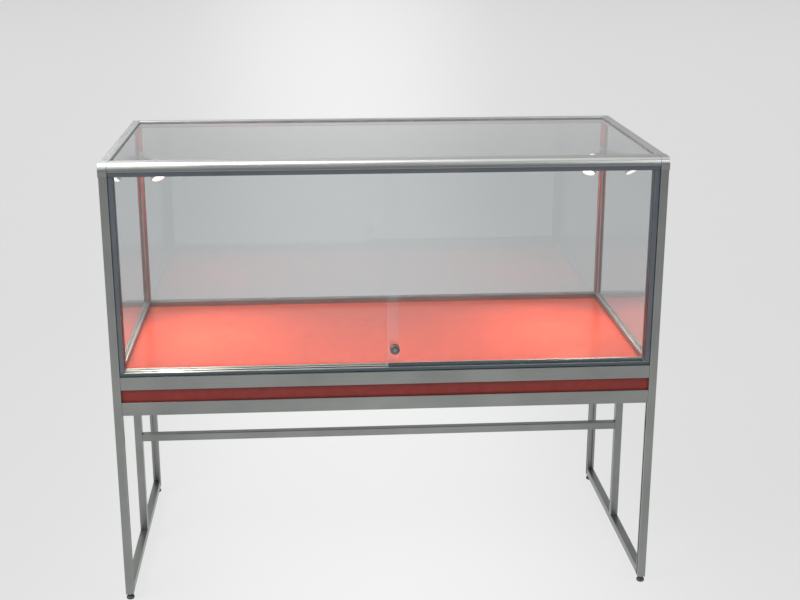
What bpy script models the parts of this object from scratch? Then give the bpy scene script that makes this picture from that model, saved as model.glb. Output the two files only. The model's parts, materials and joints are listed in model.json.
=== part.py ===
"""Glass display case on an open leg frame, with two sliding front panes, a push lock and two spots.

Metres, +Z up. The origin is on the floor under the centre of the case, the doors face -Y.
Every piece is one object. A piece that moves has its origin on its joint's axis.
"""
import math

import bmesh
import bpy
from mathutils import Matrix, Vector

# ---------------------------------------------------------------- driving dimensions
WIDTH = 1.200                # over the posts, along X
DEPTH = 0.590                # over the posts, along Y
HEIGHT = 1.005               # floor to the top of the case
TUBE = 0.018                 # side of the square frame extrusion
EDGE_ROUND = 0.0012          # rounding of an extrusion's long edges
GAP = 0.0003                 # between pieces that touch

FOOT_RAISE = 0.015           # floor to the underside of the legs
SILL_TOP = 0.538             # floor to the top of the belt rails
BELT_RAIL = 0.030            # height of the upper rail of the belt
FASCIA_OPENING = 0.029       # visible height of the coloured panel
PLINTH_RAIL = 0.030          # height of the lower rail of the belt
STRETCHER_AXIS = 0.278       # floor to the centre line of the stretcher bar

DOOR_RAIL_DEPTH = 0.042      # depth of the front top rail and of the sill, which carry both doors
NOSE_RADIUS = 0.016          # rounded front edge of the top rail
CAP_PROUD = 0.001            # how far a corner block stands out sideways

GLASS = 0.005                # thickness of every pane
BITE = 0.005                 # how far a fixed pane goes into its groove
TOP_GLASS_DROP = 0.004       # top of the rails to the top of the glass

DOOR_PITCH = 0.014           # between the middles of the two doors' planes
FRONT_PLANE = 0.013          # front of the case to the middle of the front door
TRACK_DEPTH = 0.036          # tracks and jambs, front to back
TRACK_SET_BACK = 0.003       # front of the case to the front of the tracks
TOP_TRACK = 0.010            # height of the top track
BOTTOM_TRACK = 0.008         # height of the bottom track
JAMB_WIDTH = 0.010
TRACK_WEB = 0.0022           # material left under a track's or a jamb's channel
RUN_CLEARANCE = 0.0005       # between a door and its channel, each side
TOP_PLAY = 0.0008            # above a closed door, inside the top track
SEAM = -0.003                # X of the front door's free edge
DOOR_OVERLAP = 0.028         # how far the rear door runs on behind it

DECK_BOARD = 0.012
DECK_DROP = 0.013            # top of the sill to the top of the deck
FASCIA_BITE = 0.0045         # how far a coloured panel goes into the rails
BASE_PANEL = 0.004
LEDGE_REACH = 0.012          # lip that carries the deck board and the base panel
LEDGE = 0.0028

LOCK_X = 0.015
LOCK_Z = 0.585
LOCK_HEAD_RADIUS = 0.0105
LOCK_HEAD = 0.0058           # how far the lock's head stands in front of the glass
LOCK_BARREL_RADIUS = 0.0080
LOCK_BORE_RADIUS = 0.0063
LOCK_NUT = 0.0030
LOCK_STROKE = 0.0045
PLUNGER_RADIUS = 0.0060
PLUNGER_PROUD = 0.0042       # when it is not pushed in
BOLT_RADIUS = 0.0030
PLUG_RADIUS = 0.0036
PLUG_LENGTH = 0.0070
KEEPER_RADIUS = 0.0090
KEEPER = 0.0040
ROUND_CLEARANCE = 0.0003     # radial, between a turned piece and its hole

SPOT_YAW = math.radians(32)  # arm's heading, away from straight forward and towards the middle
SPOT_TILT = math.radians(52) # lamp's aim below the level
SPOT_DROP = 0.093            # top of the case to the arm
SPOT_REACH = 0.064           # back corner to the tilt pivot, seen from above
SPOT_PIVOT = 0.014           # back corner to the swivel pivot, seen from above
SPOT_NECK = 0.008            # tilt pivot to the back of the lamp
SPOT_LENGTH = 0.036
SPOT_BACK_RADIUS = 0.0115
SPOT_RADIUS = 0.017
SPOT_RIM = 0.0018
LENS = 0.002
LENS_SET_BACK = 0.0012
CLIP = 0.0025                # wall of the corner clip
CLIP_HEIGHT = 0.024
TONGUE = 0.004
CHEEK = 0.003
KNUCKLE_RADIUS = 0.005
PIN_RADIUS = 0.0019
EYE = 0.005
ARM_RADIUS = 0.0035

FOOT_RADIUS = 0.009
FOOT_PAD = 0.007
STEM_RADIUS = 0.003
STEM_LENGTH = 0.030          # inside the leg

DRIVER = (0.130, 0.046, 0.028)
DRIVER_AT = (0.330, 0.150)
GLAND_X = 0.330
GLAND_FLANGE_RADIUS = 0.009
GLAND_BARREL_RADIUS = 0.006
GLAND_BORE_RADIUS = 0.0032
GLAND_FLANGE = 0.003
GLAND_BARREL = 0.012

# ---------------------------------------------------------------- worked out from them
HALF_W = WIDTH / 2
HALF_D = DEPTH / 2
INNER_X = HALF_W - TUBE                      # inner face of the posts
INNER_Y = HALF_D - TUBE
GROOVE = GLASS + 2 * GAP
GROOVE_DEPTH = BITE + GAP
SIDE_PLANE = HALF_W - TUBE / 2               # middle of a side pane
BACK_PLANE = HALF_D - TUBE / 2
RAIL_BACK = -HALF_D + DOOR_RAIL_DEPTH        # back of the front top rail and of the sill
TOP_RAIL_BOTTOM = HEIGHT - TUBE
TOP_GLASS_MID = HEIGHT - TOP_GLASS_DROP - GLASS / 2
BELT_BOTTOM = SILL_TOP - BELT_RAIL
PLINTH_TOP = BELT_BOTTOM - FASCIA_OPENING
PLINTH_BOTTOM = PLINTH_TOP - PLINTH_RAIL
DECK_TOP = SILL_TOP - DECK_DROP
DECK_UNDER = DECK_TOP - DECK_BOARD
BASE_UNDER = PLINTH_BOTTOM + LEDGE + GAP
FLOOR_RAIL_TOP = FOOT_RAISE + TUBE

TRACK_FRONT = -HALF_D + TRACK_SET_BACK
TRACK_BACK = TRACK_FRONT + TRACK_DEPTH
TOP_TRACK_BOTTOM = TOP_RAIL_BOTTOM - TOP_TRACK
BOTTOM_TRACK_TOP = SILL_TOP + BOTTOM_TRACK
FRONT_DOOR_Y = -HALF_D + FRONT_PLANE
REAR_DOOR_Y = FRONT_DOOR_Y + DOOR_PITCH
CHANNEL = GLASS + 2 * RUN_CLEARANCE
DOOR_BOTTOM = SILL_TOP + GAP + TRACK_WEB + GAP
DOOR_TOP = TOP_RAIL_BOTTOM - GAP - TRACK_WEB - TOP_PLAY
SPOT_HEIGHT = HEIGHT - SPOT_DROP
FASCIA = GLASS                               # the coloured panels sit in the glass grooves
DOOR_EDGE = INNER_X - GAP - TRACK_WEB - RUN_CLEARANCE     # outer edge of a closed door

# ---------------------------------------------------------------- materials


def material(name, color, roughness, metallic=0.0, transmission=0.0):
    made = bpy.data.materials.new(name)
    made.use_nodes = True
    shader = made.node_tree.nodes["Principled BSDF"]
    shader.inputs["Base Color"].default_value = (*color, 1.0)
    shader.inputs["Roughness"].default_value = roughness
    shader.inputs["Metallic"].default_value = metallic
    shader.inputs["Transmission Weight"].default_value = transmission
    return made


def new_materials():
    return {
        "aluminium": material("aluminium", (0.42, 0.44, 0.43), 0.35, metallic=1.0),
        "door_profile": material("door_profile", (0.12, 0.14, 0.16), 0.45),
        "glass": material("glass", (0.86, 0.92, 0.89), 0.05, transmission=0.9),
        "red_laminate": material("red_laminate", (0.62, 0.10, 0.05), 0.25),
        "red_panel": material("red_panel", (0.30, 0.035, 0.025), 0.40),
        "lock_metal": material("lock_metal", (0.30, 0.30, 0.31), 0.30, metallic=1.0),
        "spot_body": material("spot_body", (0.60, 0.61, 0.62), 0.35, metallic=1.0),
        "spot_lens": material("spot_lens", (1.0, 0.93, 0.82), 0.20),
        "black_plastic": material("black_plastic", (0.03, 0.03, 0.03), 0.50),
        "panel_grey": material("panel_grey", (0.40, 0.41, 0.42), 0.60),
    }


# ---------------------------------------------------------------- modelling helpers


def finish(bm, name, skin, smooth=False):
    """Turn a bmesh into an object with outward faces and one material."""
    bmesh.ops.recalc_face_normals(bm, faces=bm.faces)
    mesh = bpy.data.meshes.new(name)
    bm.to_mesh(mesh)
    bm.free()
    if smooth:
        mesh.shade_smooth()
        mesh.set_sharp_from_angle(angle=math.radians(35))
    made = bpy.data.objects.new(name, mesh)
    bpy.context.scene.collection.objects.link(made)
    if skin:
        mesh.materials.append(skin)
    return made


def solid(name, outline, axis, low, high, skin, smooth=False):
    """Extrude an outline along X, Y or Z. It is drawn in (y, z), (x, z) or (x, y)."""
    lift = {
        "X": lambda a, b, c: (c, a, b),
        "Y": lambda a, b, c: (a, c, b),
        "Z": lambda a, b, c: (a, b, c),
    }[axis]
    bm = bmesh.new()
    ring = [bm.verts.new(lift(a, b, low)) for a, b in outline]
    face = bm.faces.new(ring)
    grown = bmesh.ops.extrude_face_region(bm, geom=[face])
    moved = [item for item in grown["geom"] if isinstance(item, bmesh.types.BMVert)]
    bmesh.ops.translate(bm, verts=moved, vec=Vector(lift(0, 0, high - low)))
    return finish(bm, name, skin, smooth)


def box(name, low, high, skin):
    bm = bmesh.new()
    size = [h - l for l, h in zip(low, high)]
    middle = [(h + l) / 2 for l, h in zip(low, high)]
    bmesh.ops.create_cube(bm, size=1.0, matrix=Matrix.Translation(middle) @ Matrix.Diagonal((*size, 1)))
    return finish(bm, name, skin)


def turned(name, outline, skin, closed=False, steps=24):
    """Spin an outline of (radius, height) round local Z. A closed outline makes a ring."""
    bm = bmesh.new()
    points = [bm.verts.new((radius, 0, height)) for radius, height in outline]
    pairs = list(zip(points, points[1:])) + ([(points[-1], points[0])] if closed else [])
    edges = [bm.edges.new(pair) for pair in pairs]
    bmesh.ops.spin(bm, geom=points + edges, cent=(0, 0, 0), axis=(0, 0, 1),
                   angle=2 * math.pi, steps=steps, use_merge=True)
    bmesh.ops.remove_doubles(bm, verts=bm.verts, dist=1e-6)
    return finish(bm, name, skin, smooth=True)


def rod_outline(radius, low, high):
    return [(0, low), (radius, low), (radius, high), (0, high)]


def boolean(target, tool, operation="DIFFERENCE"):
    """Cut with, or add, a helper solid that is not a piece itself."""
    tool.hide_render = True
    tool.display_type = "WIRE"
    step = target.modifiers.new(tool.name, "BOOLEAN")
    step.operation = operation
    step.solver = "EXACT"
    step.object = tool
    return target


def soften(target, width, segments=2):
    bevel = target.modifiers.new("soft_edges", "BEVEL")
    bevel.width = width
    bevel.segments = segments
    bevel.limit_method = "ANGLE"
    bevel.angle_limit = math.radians(50)
    return target


def put(target, location, rotation=(0, 0, 0)):
    target.location = location
    target.rotation_euler = rotation
    return target


def arc(centre, radius, start, stop, steps):
    """Points on an arc, angles in degrees."""
    turns = [math.radians(start + (stop - start) * i / steps) for i in range(steps + 1)]
    return [(centre[0] + radius * math.cos(t), centre[1] + radius * math.sin(t)) for t in turns]


def extrusion_outline(a0, a1, b0, b1, grooves=(), radius=EDGE_ROUND, steps=2):
    """A rounded rectangle with open grooves. A groove is (side, middle, width, depth)."""
    cuts = {"bottom": [], "right": [], "top": [], "left": []}
    for side, middle, width, depth in grooves:
        cuts[side].append((middle, width / 2, depth))
    outline = arc((a0 + radius, b0 + radius), radius, 180, 270, steps)
    for middle, half, depth in sorted(cuts["bottom"]):
        outline += [(middle - half, b0), (middle - half, b0 + depth),
                    (middle + half, b0 + depth), (middle + half, b0)]
    outline += arc((a1 - radius, b0 + radius), radius, 270, 360, steps)
    for middle, half, depth in sorted(cuts["right"]):
        outline += [(a1, middle - half), (a1 - depth, middle - half),
                    (a1 - depth, middle + half), (a1, middle + half)]
    outline += arc((a1 - radius, b1 - radius), radius, 0, 90, steps)
    for middle, half, depth in sorted(cuts["top"], reverse=True):
        outline += [(middle + half, b1), (middle + half, b1 - depth),
                    (middle - half, b1 - depth), (middle - half, b1)]
    outline += arc((a0 + radius, b1 - radius), radius, 90, 180, steps)
    for middle, half, depth in sorted(cuts["left"], reverse=True):
        outline += [(a0, middle + half), (a0 + depth, middle + half),
                    (a0 + depth, middle - half), (a0, middle - half)]
    return outline


def both_sides(low, high, side):
    """An X range mirrored to the left (-1) or kept on the right (+1)."""
    return (low, high) if side > 0 else (-high, -low)


SIDES = ((-1, "left"), (1, "right"))


# ---------------------------------------------------------------- leg frame


def make_posts(skin):
    """Four full-height posts, with a groove for each of the two panes or panels that meet in them."""
    for side, word in SIDES:
        x0, x1 = both_sides(INNER_X, HALF_W, side)
        inward = "left" if side > 0 else "right"
        side_groove = (side * SIDE_PLANE, GROOVE, GROOVE_DEPTH)
        front = extrusion_outline(x0, x1, -HALF_D, -INNER_Y,
                                  [("top", *side_groove), (inward, -BACK_PLANE, GROOVE, GROOVE_DEPTH)])
        back = extrusion_outline(x0, x1, INNER_Y, HALF_D,
                                 [("bottom", *side_groove), (inward, BACK_PLANE, GROOVE, GROOVE_DEPTH)])
        for name, outline, top, y in (
            (f"post_front_{word}", front, TOP_TRACK_BOTTOM - GAP, -BACK_PLANE),
            (f"post_back_{word}", back, TOP_RAIL_BOTTOM - GAP, BACK_PLANE),
        ):
            post = solid(name, outline, "Z", FOOT_RAISE, top, skin)
            bore = turned(f"bore_{name}",
                          rod_outline(STEM_RADIUS + ROUND_CLEARANCE, -0.002, STEM_LENGTH + 0.002),
                          None, steps=16)
            put(bore, (side * SIDE_PLANE, y, FOOT_RAISE))
            boolean(post, bore)


def make_feet(skin):
    """Screw-in levelling feet, drawn fully screwed in."""
    chamfer = 0.0015
    outline = [(0, 0), (FOOT_RADIUS - chamfer, 0), (FOOT_RADIUS, chamfer), (FOOT_RADIUS, FOOT_PAD - chamfer),
               (FOOT_RADIUS - chamfer, FOOT_PAD), (STEM_RADIUS, FOOT_PAD),
               (STEM_RADIUS, FOOT_RAISE + STEM_LENGTH), (0, FOOT_RAISE + STEM_LENGTH)]
    for side, word in SIDES:
        for y, end in ((-BACK_PLANE, "front"), (BACK_PLANE, "back")):
            put(turned(f"foot_{end}_{word}", outline, skin, steps=20), (side * SIDE_PLANE, y, 0))


def make_side_frames(skin):
    """Below the case each side has a floor rail and a middle post, tied across by one stretcher."""
    for side, word in SIDES:
        x0, x1 = both_sides(INNER_X, HALF_W, side)
        solid(f"floor_rail_{word}", extrusion_outline(x0, x1, FOOT_RAISE, FLOOR_RAIL_TOP), "Y",
              -INNER_Y + GAP, INNER_Y - GAP, skin)
        solid(f"mid_post_{word}", extrusion_outline(x0, x1, -TUBE / 2, TUBE / 2), "Z",
              FLOOR_RAIL_TOP + GAP, PLINTH_BOTTOM - GAP, skin)
    solid("stretcher_bar",
          extrusion_outline(-TUBE / 2, TUBE / 2, STRETCHER_AXIS - TUBE / 2, STRETCHER_AXIS + TUBE / 2),
          "X", -INNER_X + GAP, INNER_X - GAP, skin)


# ---------------------------------------------------------------- belt under the case


def with_ledge(outline, inner, reach, z0, z1):
    """Grow a lip out of the vertical face at `inner`, between z0 and z1."""
    grown = []
    for i, point in enumerate(outline):
        following = outline[(i + 1) % len(outline)]
        grown.append(point)
        upright = abs(point[0] - inner) < 1e-7 and abs(following[0] - inner) < 1e-7
        if upright and min(point[1], following[1]) < z0 and max(point[1], following[1]) > z1:
            lip = [(inner, z0), (inner + reach, z0), (inner + reach, z1), (inner, z1)]
            grown += lip if following[1] > point[1] else lip[::-1]
    return grown


def make_belt(skins):
    """Two rings of rails with a recessed coloured panel between them, all round."""
    skin = skins["aluminium"]
    fascia_slot = (FASCIA + 2 * GAP, FASCIA_BITE + GAP)
    deck_ledge = (DECK_UNDER - GAP - LEDGE, DECK_UNDER - GAP)
    base_ledge = (PLINTH_BOTTOM, PLINTH_BOTTOM + LEDGE)
    across = (-INNER_X + GAP, INNER_X - GAP)
    along = (-INNER_Y + GAP, INNER_Y - GAP)

    sill = extrusion_outline(-HALF_D, RAIL_BACK, BELT_BOTTOM, SILL_TOP,
                             [("bottom", -BACK_PLANE, *fascia_slot)])
    solid("belt_rail_front", with_ledge(sill, RAIL_BACK, LEDGE_REACH, *deck_ledge), "X", *across, skin)
    back = extrusion_outline(INNER_Y, HALF_D, BELT_BOTTOM, SILL_TOP,
                             [("top", BACK_PLANE, GROOVE, GROOVE_DEPTH),
                              ("bottom", BACK_PLANE, *fascia_slot)])
    solid("belt_rail_back", with_ledge(back, INNER_Y, -LEDGE_REACH, *deck_ledge), "X", *across, skin)

    lip_round = 0.0008
    for end, y0, y1, inner, reach in (("front", -HALF_D, -INNER_Y, -INNER_Y, LEDGE_REACH),
                                      ("back", INNER_Y, HALF_D, INNER_Y, -LEDGE_REACH)):
        rail = extrusion_outline(y0, y1, PLINTH_BOTTOM, PLINTH_TOP,
                                 [("top", (y0 + y1) / 2, *fascia_slot)], radius=lip_round, steps=1)
        lifted = (base_ledge[0] + 2 * lip_round, base_ledge[1])
        solid(f"plinth_rail_{end}", with_ledge(rail, inner, reach, *lifted), "X", *across, skin)
        middle = (y0 + y1) / 2
        panel = box(f"fascia_{end}", (-INNER_X - BITE, middle - FASCIA / 2, PLINTH_TOP - FASCIA_BITE),
                    (INNER_X + BITE, middle + FASCIA / 2, BELT_BOTTOM + FASCIA_BITE), skins["red_panel"])
        if end == "back":
            hole = turned("gland_hole", rod_outline(GLAND_BARREL_RADIUS + ROUND_CLEARANCE, -0.01, 0.01),
                          None, steps=20)
            put(hole, (GLAND_X, middle, (PLINTH_TOP + BELT_BOTTOM) / 2), (math.radians(90), 0, 0))
            boolean(panel, hole)

    for side, word in SIDES:
        x0, x1 = both_sides(INNER_X, HALF_W, side)
        middle = side * SIDE_PLANE
        solid(f"belt_rail_{word}",
              extrusion_outline(x0, x1, BELT_BOTTOM, SILL_TOP,
                                [("top", middle, GROOVE, GROOVE_DEPTH), ("bottom", middle, *fascia_slot)]),
              "Y", *along, skin)
        solid(f"plinth_rail_{word}",
              extrusion_outline(x0, x1, PLINTH_BOTTOM, PLINTH_TOP, [("top", middle, *fascia_slot)]),
              "Y", *along, skin)
        box(f"fascia_{word}", (middle - FASCIA / 2, -INNER_Y - BITE, PLINTH_TOP - FASCIA_BITE),
            (middle + FASCIA / 2, INNER_Y + BITE, BELT_BOTTOM + FASCIA_BITE), skins["red_panel"])


def make_boards(skins):
    """The deck that exhibits stand on, the panel that closes the belt from below, and what lies on it."""
    deck = box("deck_board", (-INNER_X + GAP, RAIL_BACK + GAP, DECK_UNDER),
               (INNER_X - GAP, INNER_Y - GAP, DECK_TOP), skins["red_laminate"])
    soften(deck, 0.0005, 1)
    box("base_panel", (-INNER_X + GAP, -INNER_Y + GAP, BASE_UNDER),
        (INNER_X - GAP, INNER_Y - GAP, BASE_UNDER + BASE_PANEL), skins["panel_grey"])
    x, y = DRIVER_AT
    long, wide, tall = DRIVER
    floor = BASE_UNDER + BASE_PANEL + GAP
    soften(box("lamp_driver", (x - long / 2, y - wide / 2, floor), (x + long / 2, y + wide / 2, floor + tall),
               skins["black_plastic"]), 0.002)


def make_gland(skin):
    """Bush in the back panel for the supply lead, a flange outside and a barrel through the panel."""
    face = FASCIA / 2 + GAP
    outline = [(GLAND_BORE_RADIUS, face + GLAND_FLANGE), (GLAND_FLANGE_RADIUS - 0.001, face + GLAND_FLANGE),
               (GLAND_FLANGE_RADIUS, face + GLAND_FLANGE - 0.001), (GLAND_FLANGE_RADIUS, face),
               (GLAND_BARREL_RADIUS, face), (GLAND_BARREL_RADIUS, face - GLAND_BARREL),
               (GLAND_BORE_RADIUS, face - GLAND_BARREL)]
    gland = turned("cable_gland", outline, skin, closed=True, steps=20)
    put(gland, (GLAND_X, BACK_PLANE, (PLINTH_TOP + BELT_BOTTOM) / 2), (math.radians(-90), 0, 0))


# ---------------------------------------------------------------- top of the case


def nose_outline():
    """Front top rail in (y, z): flat underneath, with a round nose, and a groove behind for the glass."""
    front, back = -HALF_D, RAIL_BACK
    low, high = TOP_RAIL_BOTTOM, HEIGHT
    half = GROOVE / 2
    outline = [(back, low), (back, TOP_GLASS_MID - half), (back - GROOVE_DEPTH, TOP_GLASS_MID - half),
               (back - GROOVE_DEPTH, TOP_GLASS_MID + half), (back, TOP_GLASS_MID + half)]
    outline += arc((back - EDGE_ROUND, high - EDGE_ROUND), EDGE_ROUND, 0, 90, 2)
    outline += arc((front + NOSE_RADIUS, high - NOSE_RADIUS), NOSE_RADIUS, 90, 180, 10)
    return outline + [(front, low)]


def corner_outline():
    """Corner block in (y, z): the rail's nose, carried down over the end of the top track."""
    front, back = -HALF_D, RAIL_BACK
    return [(front, TOP_TRACK_BOTTOM), (back, TOP_TRACK_BOTTOM), (back, HEIGHT)] + arc(
        (front + NOSE_RADIUS, HEIGHT - NOSE_RADIUS), NOSE_RADIUS, 90, 180, 10)


def make_top(skin):
    solid("top_rail_front", nose_outline(), "X", -INNER_X + GAP, INNER_X - GAP, skin)
    back = extrusion_outline(INNER_Y, HALF_D, TOP_RAIL_BOTTOM, HEIGHT,
                             [("bottom", BACK_PLANE, GROOVE, GROOVE_DEPTH),
                              ("left", TOP_GLASS_MID, GROOVE, GROOVE_DEPTH)])
    solid("top_rail_back", back, "X", -INNER_X + GAP, INNER_X - GAP, skin)
    reach = 0.003            # how far a cutter runs on outside the block
    for side, word in SIDES:
        x0, x1 = both_sides(INNER_X, HALF_W, side)
        inward = "left" if side > 0 else "right"
        rail = solid(f"top_rail_{word}",
                     extrusion_outline(x0, x1, TOP_RAIL_BOTTOM, HEIGHT,
                                       [("bottom", side * SIDE_PLANE, GROOVE, GROOVE_DEPTH),
                                        (inward, TOP_GLASS_MID, GROOVE, GROOVE_DEPTH)]),
                     "Y", RAIL_BACK + GAP, HALF_D, skin)
        back_slot = both_sides(INNER_X - reach, INNER_X + GROOVE_DEPTH, side)
        boolean(rail, box(f"back_slot_{word}",
                          (back_slot[0], BACK_PLANE - GROOVE / 2, TOP_RAIL_BOTTOM - reach),
                          (back_slot[1], BACK_PLANE + GROOVE / 2, TOP_RAIL_BOTTOM + GROOVE_DEPTH), None))
        outer = both_sides(INNER_X + GAP, HALF_W + CAP_PROUD, side)
        block = solid(f"corner_block_{word}", corner_outline(), "X", *outer, skin)
        side_slot = both_sides(SIDE_PLANE - GROOVE / 2, SIDE_PLANE + GROOVE / 2, side)
        boolean(block, box(f"side_slot_{word}",
                           (side_slot[0], -INNER_Y - GROOVE_DEPTH, TOP_TRACK_BOTTOM - reach),
                           (side_slot[1], RAIL_BACK + reach, TOP_RAIL_BOTTOM + GROOVE_DEPTH), None))
        top_slot = both_sides(INNER_X - reach, INNER_X + GROOVE_DEPTH, side)
        boolean(block, box(f"top_slot_{word}",
                           (top_slot[0], RAIL_BACK - GROOVE_DEPTH, TOP_GLASS_MID - GROOVE / 2),
                           (top_slot[1], RAIL_BACK + reach, TOP_GLASS_MID + GROOVE / 2), None))


def make_fixed_glass(skin):
    half = GLASS / 2
    box("glass_top", (-INNER_X - BITE, RAIL_BACK - BITE, TOP_GLASS_MID - half),
        (INNER_X + BITE, INNER_Y + BITE, TOP_GLASS_MID + half), skin)
    box("glass_back", (-INNER_X - BITE, BACK_PLANE - half, SILL_TOP - BITE),
        (INNER_X + BITE, BACK_PLANE + half, TOP_RAIL_BOTTOM + BITE), skin)
    for side, word in SIDES:
        x0, x1 = both_sides(SIDE_PLANE - half, SIDE_PLANE + half, side)
        box(f"glass_{word}", (x0, -INNER_Y - BITE, SILL_TOP - BITE),
            (x1, INNER_Y + BITE, TOP_RAIL_BOTTOM + BITE), skin)


# ---------------------------------------------------------------- sliding doors


def make_tracks(skin):
    """Two-channel tracks above and below the doors, and two-channel jambs at the ends."""
    planes = (FRONT_DOOR_Y, REAR_DOOR_Y)
    across = (-INNER_X + GAP, INNER_X - GAP)
    small = 0.0006
    bottom = extrusion_outline(TRACK_FRONT, TRACK_BACK, SILL_TOP + GAP, BOTTOM_TRACK_TOP,
                               [("top", y, CHANNEL, BOTTOM_TRACK - GAP - TRACK_WEB) for y in planes],
                               small, 1)
    solid("door_track_bottom", bottom, "X", *across, skin)
    top = extrusion_outline(TRACK_FRONT, TRACK_BACK, TOP_TRACK_BOTTOM, TOP_RAIL_BOTTOM - GAP,
                            [("bottom", y, CHANNEL, TOP_TRACK - GAP - TRACK_WEB) for y in planes], small, 1)
    solid("door_track_top", top, "X", *across, skin)
    for side, word in SIDES:
        x0, x1 = both_sides(INNER_X - JAMB_WIDTH, INNER_X - GAP, side)
        inward = "left" if side > 0 else "right"
        jamb = extrusion_outline(x0, x1, TRACK_FRONT, TRACK_BACK,
                                 [(inward, y, CHANNEL, JAMB_WIDTH - GAP - TRACK_WEB) for y in planes],
                                 small, 1)
        solid(f"door_jamb_{word}", jamb, "Z", BOTTOM_TRACK_TOP + GAP, TOP_TRACK_BOTTOM - GAP, skin)


def make_doors(skin):
    """The left door runs behind, the right one in front and carries the lock."""
    half = GLASS / 2
    box("door_glass_left", (-DOOR_EDGE, REAR_DOOR_Y - half, DOOR_BOTTOM),
        (SEAM + DOOR_OVERLAP, REAR_DOOR_Y + half, DOOR_TOP), skin)
    right = box("door_glass_right", (SEAM, FRONT_DOOR_Y - half, DOOR_BOTTOM),
                (DOOR_EDGE, FRONT_DOOR_Y + half, DOOR_TOP), skin)
    hole = turned("lock_hole", rod_outline(LOCK_BARREL_RADIUS + ROUND_CLEARANCE, -0.01, 0.01), None)
    put(hole, (LOCK_X, FRONT_DOOR_Y, LOCK_Z), (math.radians(90), 0, 0))
    boolean(right, hole)


def make_lock(skin):
    """A push lock. Heights run along +Y from the front face of the glass."""
    front_face = FRONT_DOOR_Y - GLASS / 2
    facing = (math.radians(-90), 0, 0)
    here = (LOCK_X, front_face, LOCK_Z)
    barrel_end = GLASS + GAP + LOCK_NUT
    end_wall = 0.0016
    chamfer = 0.0012
    bolt_bore = BOLT_RADIUS + ROUND_CLEARANCE
    housing = [(LOCK_BORE_RADIUS, -GAP - LOCK_HEAD), (LOCK_HEAD_RADIUS - chamfer, -GAP - LOCK_HEAD),
               (LOCK_HEAD_RADIUS, -GAP - LOCK_HEAD + chamfer), (LOCK_HEAD_RADIUS, -GAP),
               (LOCK_BARREL_RADIUS, -GAP), (LOCK_BARREL_RADIUS, barrel_end), (bolt_bore, barrel_end),
               (bolt_bore, barrel_end - end_wall), (LOCK_BORE_RADIUS, barrel_end - end_wall)]
    put(turned("lock_housing", housing, skin, closed=True), here, facing)

    nut_bore = LOCK_BARREL_RADIUS + ROUND_CLEARANCE
    nut = [(nut_bore, GLASS + GAP), (LOCK_HEAD_RADIUS, GLASS + GAP), (LOCK_HEAD_RADIUS, barrel_end),
           (nut_bore, barrel_end)]
    put(turned("lock_nut", nut, skin, closed=True), here, facing)

    face = -GAP - LOCK_HEAD - PLUNGER_PROUD
    shoulder = barrel_end - end_wall - LOCK_STROKE - GAP
    tip = barrel_end - GAP
    plug_floor = face + PLUG_LENGTH + GAP
    plug_bore = PLUG_RADIUS + ROUND_CLEARANCE
    edge = 0.0006
    plunger = [(0, plug_floor), (plug_bore, plug_floor), (plug_bore, face), (PLUNGER_RADIUS - edge, face),
               (PLUNGER_RADIUS, face + edge), (PLUNGER_RADIUS, shoulder), (BOLT_RADIUS, shoulder),
               (BOLT_RADIUS, tip), (0, tip)]
    put(turned("lock_plunger", plunger, skin), here, facing)

    plug = turned("lock_plug", rod_outline(PLUG_RADIUS, face, face + PLUG_LENGTH), skin)
    put(plug, here, facing)
    keyway = box("keyway", (-0.0005, -0.0022, face - 0.002), (0.0005, 0.0022, face + 0.0045), None)
    put(keyway, here, facing)
    boolean(plug, keyway)

    pitch = DOOR_PITCH - GAP
    hole = BOLT_RADIUS + 0.001
    keeper = [(hole, pitch - KEEPER), (KEEPER_RADIUS, pitch - KEEPER), (KEEPER_RADIUS, pitch), (hole, pitch)]
    put(turned("lock_keeper", keeper, skin, closed=True), here, facing)


# ---------------------------------------------------------------- spots


def capsule(length, half, steps=8):
    """Outline in (x, y): square end at the origin's left, round end at `length`."""
    return [(0, half)] + [(0, -half)] + arc((length, 0), half, -90, 90, steps)


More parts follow.
